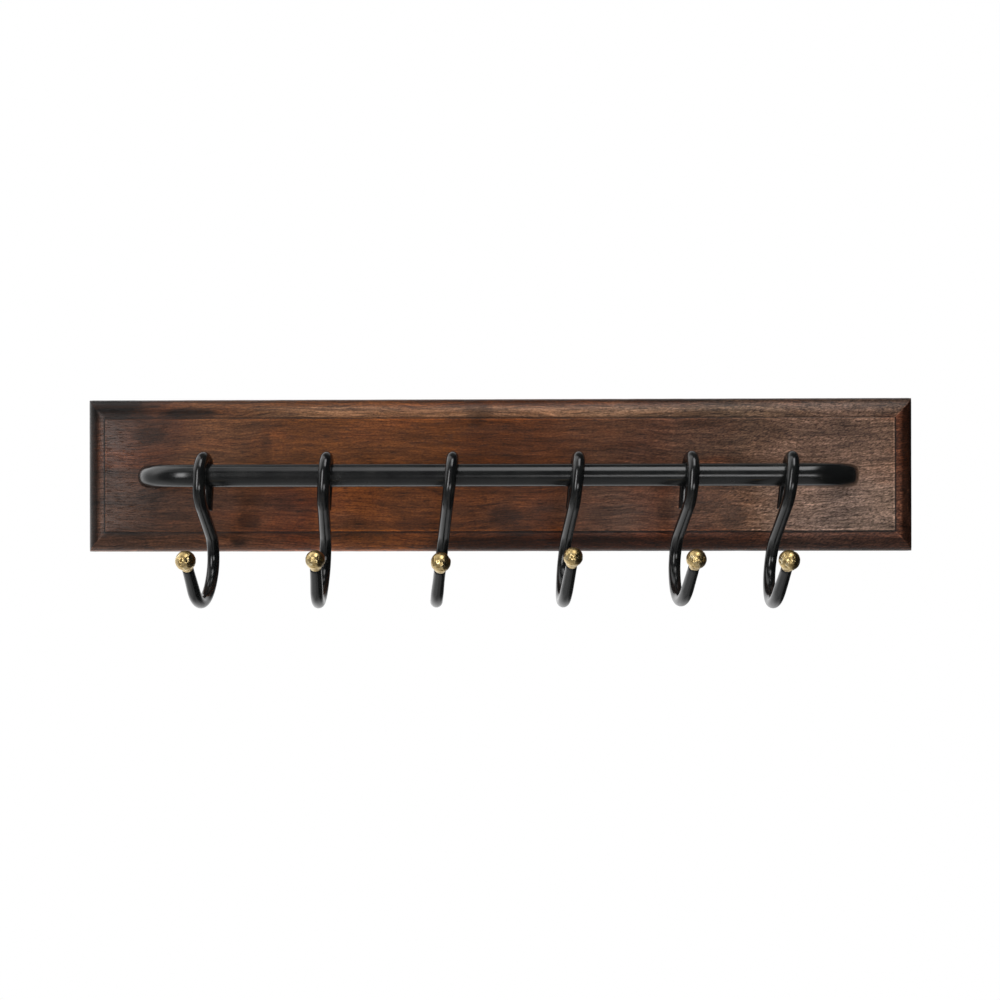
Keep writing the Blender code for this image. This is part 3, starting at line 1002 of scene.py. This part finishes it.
def make_rod(number, stand, shank, bowl):
    """The hook's rod, in its own upright plane, hung where stand says."""
    spigot_root = LEG_LENGTH - NECK_REACH - 0.3 * MM
    path = trace(
        (-LOOP_RADIUS, -TAIL_LENGTH),
        90.0,
        (
            (TAIL_LENGTH,),
            (LOOP_RADIUS, -180.0),
            (LOOP_RUN,),
            CROSSING,
            (shank,),
            BOWL_REAR,
            (BOWL_RADIUS, bowl),
            (spigot_root,),
        ),
    )
    sides = 40
    lengths = [0.0]
    for (a, _), (b, _) in zip(path, path[1:]):
        lengths.append(lengths[-1] + (b - a).length)
    whole = lengths[-1]
    rings = []

    def ring(point, heading, radius, worked=1.0):
        across = way_at(heading + 90)
        centre = Vector((0.0, -point.x, point.y))
        places = []
        for j in range(sides):
            angle = 2 * math.pi * j / sides
            flat = across * math.cos(angle)
            out = Vector((math.sin(angle), -flat.x, flat.y))
            skin = centre + out * radius
            reach = grown(radius, skin, 11.0 * number, 0.09 * MM * worked, 60.0)
            reach = grown(reach, skin, 5.0 * number, 0.012 * MM * worked, 160.0)
            places.append(stand @ (centre + out * reach))
        rings.append(places)

    # The tail's cut end, eased.
    tail_end, heading = path[0]
    for along, drop in ((0.0, 0.5), (0.15, 0.2), (0.5, 0.0)):
        ring(tail_end + way_at(heading) * along * MM, heading, ROD_RADIUS - drop * MM, 0.3)
    for (point, heading), length in list(zip(path, lengths))[1:]:
        if whole - length >= 1.0 * MM:
            taper = max(0.0, (length - (whole - spigot_root)) / spigot_root)
            ring(point, heading, ROD_RADIUS + (TIP_RADIUS - ROD_RADIUS) * taper)
    root, heading = path[-1]
    way = way_at(heading)
    # A rounded end under the ball's neck, then the spigot.
    for back, radius in ((0.9, 3.72), (0.6, 3.66), (0.3, 3.5), (0.1, 3.25), (0.0, 2.9)):
        ring(root - way * back * MM, heading, radius * MM, 0.3)
    ring(root + way * 0.02 * MM, heading, SPIGOT_RADIUS, 0.0)
    ring(root + way * (LEG_LENGTH - spigot_root + 1.2 * MM), heading, SPIGOT_RADIUS, 0.0)
    name = f"hook_{number}_bent_rod"
    rod = new_object(name, mesh_of_rings(name, rings))
    smooth(rod.data, 35)
    dress(rod, HOOK_IRON, f"hook_{number}_rod", f"hook_{number}")
    return root + way * (LEG_LENGTH - spigot_root), heading


def random_way(dice, lowest):
    """A random direction with z of at least lowest."""
    z = dice.uniform(lowest, 1.0)
    turn = dice.uniform(0, 2 * math.pi)
    level = math.sqrt(1 - z * z)
    return Vector((level * math.cos(turn), level * math.sin(turn), z))


def ball_outline(ball_radius, flare):
    """(radius, height) from the ball's crown down its neck and up its socket, and
    the height where the neck starts."""
    rows = 96
    neck_top = NECK_RADIUS + flare
    neck_start = -math.sqrt(ball_radius**2 - neck_top**2)
    crown = math.pi / 2 - 0.02
    sweep = math.pi / 2 + math.atan2(-neck_start, neck_top) - 0.10
    outline = []
    for i in range(rows + 1):
        angle = crown - sweep * i / rows
        outline.append((ball_radius * math.cos(angle), ball_radius * math.sin(angle)))
    # The neck narrows down from the ball and ends in a rounded lip.
    lip = NECK_REACH - 0.5 * MM
    for t in (0.25, 0.5, 0.75, 0.95):
        outline.append((NECK_RADIUS + 0.85 * flare * (1 - t), neck_start * (1 - t) - lip * t))
    outline += [
        (NECK_RADIUS - 0.15 * MM, -NECK_REACH + 0.1 * MM),
        (NECK_RADIUS - 0.5 * MM, -NECK_REACH),
        (SOCKET_RADIUS, -NECK_REACH),
        (SOCKET_RADIUS, 1.5 * MM),
    ]
    return outline, neck_start


def make_ball(number, stand, centre, heading):
    """A hand-finished ball: flats, dents and pits over a sphere with a neck."""
    dice = random.Random(40 + number)
    flats = [(random_way(dice, -1.0), dice.uniform(0.945, 1.0)) for _ in range(34)]
    # Each pit's place, width and depth.
    pits = [
        (random_way(dice, -0.6), dice.uniform(0.05, 0.16), dice.uniform(0.012, 0.05))
        for _ in range(60)
    ]
    sides = 112
    scale, flare = BALLS[number - 1]
    outline, neck_start = ball_outline(BALL_RADIUS * scale, flare)
    axis = Matrix.Translation((0.0, -centre.x, centre.y)) @ Matrix.Rotation(
        math.radians(90.0 - heading), 4, "X"
    )
    rings, wear = [], []
    seed = Vector((7.3 * number, 2.1, 5.7 * number))
    for radius, height in outline:
        ring = []
        for j in range(sides):
            angle = 2 * math.pi * j / sides
            place = Vector((radius * math.cos(angle), radius * math.sin(angle), height))
            worn = 0.55
            if radius > SOCKET_RADIUS + 0.05 * MM:
                way = place.normalized()
                cutback = 1.0
                for flat, level in flats:
                    facing = way.dot(flat)
                    if facing > 0.5:
                        cutback = min(cutback, level / facing)
                dent = 0.0
                for pit, wide, deep in pits:
                    gap = (way - pit).length / wide
                    if gap < 2.0:
                        dent += deep * math.exp(-gap * gap * 1.6)
                rough = 0.018 * noise.noise(way * 5.0 + seed)
                rough += 0.008 * noise.noise(way * 15.0 + seed)
                on_ball = 1.0 if height > neck_start else 0.5
                pushed = 1.0 - on_ball * ((1.0 - cutback) * 0.9 + dent - rough)
                place = place * min(pushed, 1.01)
                worn = 0.62 - 5.0 * dent + 6.0 * rough + (1 - cutback) * 1.5
            wear.append(min(1.0, max(0.0, worn)))
            ring.append(stand @ (axis @ place))
        rings.append(ring)
    name = f"hook_{number}_cast_ball"
    ball = new_object(name, mesh_of_rings(name, rings))
    attribute = ball.data.attributes.new("wear", "FLOAT", "POINT")
    attribute.data.foreach_set("value", wear)
    smooth(ball.data, 50)
    dress(ball, BRASS, f"hook_{number}_ball", f"hook_{number}")


def make_hooks():
    for number, (hang, lean, turn, shank, bowl) in enumerate(HOOKS, start=1):
        pivot = PIVOTS[f"hook_{number}"]
        stand = (
            Matrix.Translation(pivot)
            @ Matrix.Rotation(math.radians(hang), 4, "X")
            @ Matrix.Rotation(math.radians(lean), 4, "Y")
            @ Matrix.Rotation(math.radians(turn), 4, "Z")
        )
        centre, heading = make_rod(number, stand, shank, bowl)
        make_ball(number, stand, centre, heading)


# ---------------------------------------------------------------------------
# Hangers on the back
# ---------------------------------------------------------------------------


def make_hangers():
    """Two keyhole plates, each on two countersunk screws."""
    for word in ("left", "right"):
        node = f"hanger_plate_{word}"
        (_, near_y, _), (_, far_y, _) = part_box(node)
        centre, extent = middle(node), size(node)
        name = f"hanger_keyhole_plate_{word}"
        plate = block(name, centre, extent, rounding=2.2 * MM, segments=6)
        rise = Vector((0.0, 0.0, KEYHOLE_TRAVEL / 2))
        past = (near_y - MM, far_y + MM)
        boolean(plate, drum("entry", centre - rise, KEYHOLE_RADIUS, *past))
        boolean(plate, drum("slot_end", centre + rise, KEYHOLE_SLOT_WIDTH / 2, *past))
        slot = (KEYHOLE_SLOT_WIDTH, extent.y + 2 * MM, KEYHOLE_TRAVEL)
        boolean(plate, block("slot", centre, slot))
        for end in ("top", "bottom"):
            spot = middle(f"hanger_screw_{word}_{end}")
            boolean(
                plate,
                drum(
                    "countersink",
                    spot,
                    3.72 * MM,
                    far_y + 0.3 * MM,
                    near_y - 0.4 * MM,
                    48,
                    far_radius=1.6 * MM,
                ),
            )
        settled(plate)
        ease(plate, 0.12 * MM, 2)
        dress(plate, ZINC, node, "rack")
        for end in ("top", "bottom"):
            make_screw(f"hanger_screw_{word}_{end}")


def make_screw(node):
    """A countersunk wood screw with a cross recess and a helical thread."""
    spot, extent = middle(node), size(node)
    head_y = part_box(node)[1][1]
    head, length = extent.x / 2, extent.y
    shank = 1.5 * MM
    pitch = 1.1 * MM
    tip_length = 2.4 * MM
    thread_start = 2.4 * MM
    sides, steps = 32, 60
    rings = []

    def ring(depth, radius, thread=0.0):
        places = []
        for j in range(sides):
            angle = 2 * math.pi * j / sides
            phase = (depth / pitch - j / sides) % 1.0
            ridge = max(0.0, 1.0 - abs(phase - 0.5) * 3.2)
            reach = radius * (1 - 0.22 * thread * (1.0 - ridge))
            x = spot.x + reach * math.cos(angle)
            z = spot.z + reach * math.sin(angle)
            places.append(Vector((x, head_y - depth, z)))
        rings.append(places)

    ring(0.0, head - 0.25 * MM)
    ring(0.04 * MM, head - 0.08 * MM)
    ring(0.2 * MM, head)
    ring(1.6 * MM, shank + 0.1 * MM)
    ring(thread_start - 0.1 * MM, shank)
    for i in range(steps + 1):
        depth = thread_start + (length - thread_start) * i / steps
        taper = min(1.0, (length - depth) / tip_length)
        ring(depth, max(0.12 * MM, shank * taper), 1.0)
    screw = new_object(node + "_threaded", mesh_of_rings(node + "_threaded", rings))
    # The two arms of the cross recess.
    for turn in (0, 90):
        arm = block("arm", (0, 0, 0), (3.4 * MM, 2.4 * MM, 0.75 * MM))
        arm.location = (spot.x, head_y, spot.z)
        arm.rotation_euler = (0, math.radians(turn + 20), 0)
        boolean(screw, arm)
    bpy.context.view_layer.update()
    settled(screw)
    smooth(screw.data, 30)
    dress(screw, ZINC, node, "rack")


make_board()
make_rail()
make_rail_fixings()
make_hooks()
make_hangers()

# ---------------------------------------------------------------------------
# Floor, light and camera
# ---------------------------------------------------------------------------

FLOOR_Z = -0.75
FLOOR_RADIUS = 9.0
# Brightness of the parts of the studio, 1 being white.
HIGH_BOX = 4.7
LEFT_WINDOW = 7.0
RIGHT_STRIP = 4.6
FAR_LEFT = 1.5
FRONT_GLOW = 0.13
BELOW_GLOW = 0.32
FILL_POWER = 30.0
FILL_PLACE = Vector((0.15, -1.24, 1.62))
FILL_SIZE = (1.6, 1.2)
CAMERA_DISTANCE = 0.9897
CAMERA_Z = -0.0185
CAMERA_ROLL = -0.12


def make_floor():
    """A pale plain floor, well below the rack."""
    bm = bmesh.new()
    bmesh.ops.create_circle(
        bm,
        cap_ends=True,
        segments=96,
        radius=FLOOR_RADIUS,
        matrix=Matrix.Translation((0, 0, FLOOR_Z)),
    )
    mesh = bpy.data.meshes.new("floor")
    bm.to_mesh(mesh)
    bm.free()
    floor = new_object("floor", mesh)
    f = Finish("pale_floor")
    f.set(Base_Color=(0.75, 0.75, 0.74, 1.0), Roughness=0.9)
    glow = f.node("ShaderNodeEmission")
    glow.inputs["Color"].default_value = (1.0, 1.0, 1.0, 1.0)
    glow.inputs["Strength"].default_value = 1.0
    # Seen directly the floor runs into the white surroundings without an edge.
    pick = f.node("ShaderNodeMixShader")
    seen = f.node("ShaderNodeLightPath").outputs["Is Camera Ray"]
    f.feed(pick.inputs[0], seen)
    f.feed(pick.inputs[1], f.shader.outputs[0])
    f.feed(pick.inputs[2], glow.outputs[0])
    f.feed(f.tree.nodes["Material Output"].inputs["Surface"], pick.outputs[0])
    mesh.materials.append(f.material)
    # The gloss shows the studio's own lower half instead of the floor.
    floor.visible_glossy = False


def make_world():
    """White all round to the eye. What shines on the rack is a studio: a long
    soft box high in front, a window low on the left, a strip low on the right,
    a tall panel far to the left, a white sweep behind and below, and darkness
    overhead and to the right."""
    world = bpy.data.worlds.new("studio")
    bpy.context.scene.world = world
    world.use_nodes = True
    f = Graph(world.node_tree)
    x, y, z = f.split(f.node("ShaderNodeTexCoord").outputs["Generated"])
    # Degrees up from straight in front, over the top; and degrees to the right.
    ahead = f.times(y, -1.0)
    up = f.times(f.calc("ARCTAN2", z, ahead), 180.0 / math.pi)
    level = f.times(f.calc("ARCTAN2", x, ahead), 180.0 / math.pi)

    def window(value, low, high, soft):
        """1 between low and high, fading over soft to either side of both."""
        rise = f.span(value, low - soft, low + soft)
        return f.times(rise, f.span(value, high + soft, high - soft))

    high_box = f.times(window(up, 45.0, 84.0, 5.0), f.span(x, 0.45, 0.28))
    high_box = f.times(high_box, f.span(x, -0.20, 0.16, 0.5, HIGH_BOX, False))
    left_window = f.times(window(level, -36.0, -20.0, 4.0), window(up, -12.0, 26.0, 12.0))
    right_strip = f.times(window(level, 4.0, 28.0, 5.0), window(up, -17.0, -2.0, 3.0))
    far_left = f.times(window(level, -135.0, -75.0, 12.0), f.span(z, -0.1, 0.6, 0.25, 1.0))

    behind = f.times(f.span(y, 0.25, 0.75, 0.0, 0.55), f.span(x, 0.3, -0.3, 1.0, 2.0))
    below = f.span(z, -0.25, -0.85, 0.0, BELOW_GLOW)
    room = f.plus(FRONT_GLOW, behind, below)
    room = f.times(room, f.span(x, 0.22, 0.50, 1.0, 0.06), f.span(z, 0.45, 0.85, 1.0, 0.22))
    room = f.plus(
        room,
        high_box,
        f.times(left_window, LEFT_WINDOW),
        f.times(right_strip, RIGHT_STRIP),
        f.times(far_left, FAR_LEFT),
    )
    seen = f.node("ShaderNodeLightPath").outputs["Is Camera Ray"]
    strength = f.calc("MAXIMUM", f.times(room, f.minus(1.0, seen)), seen)
    background = world.node_tree.nodes["Background"]
    f.feed(background.inputs["Color"], (1.0, 1.0, 1.0, 1.0))
    f.feed(background.inputs["Strength"], strength)


def make_light():
    """The matt fill from high in front, which the gloss doesn't show."""
    light = bpy.data.lights.new("front_fill", "AREA")
    light.shape = "RECTANGLE"
    light.size, light.size_y = FILL_SIZE
    light.energy = FILL_POWER
    obj = new_object("front_fill", light)
    obj.location = FILL_PLACE
    way = Vector((0.0, RAIL_Y, RAIL_Z)) - FILL_PLACE
    obj.rotation_euler = way.to_track_quat("-Z", "Y").to_euler()
    obj.visible_camera = False
    obj.visible_glossy = False


def make_camera():
    camera = bpy.data.cameras.new("camera")
    camera.sensor_width = 36.0
    camera.lens = 48.53
    obj = new_object("camera", camera)
    obj.location = (0.0, FRONT_Y - CAMERA_DISTANCE, CAMERA_Z)
    obj.rotation_mode = "ZYX"
    # It is rolled by a hair, and then stood level.
    obj.rotation_euler = (math.radians(90.0), 0.0, math.radians(CAMERA_ROLL))
    camera.clip_start = 0.05
    bpy.context.scene.camera = obj
    bpy.context.scene.view_settings.view_transform = "Standard"


make_floor()
make_world()
make_light()
make_camera()
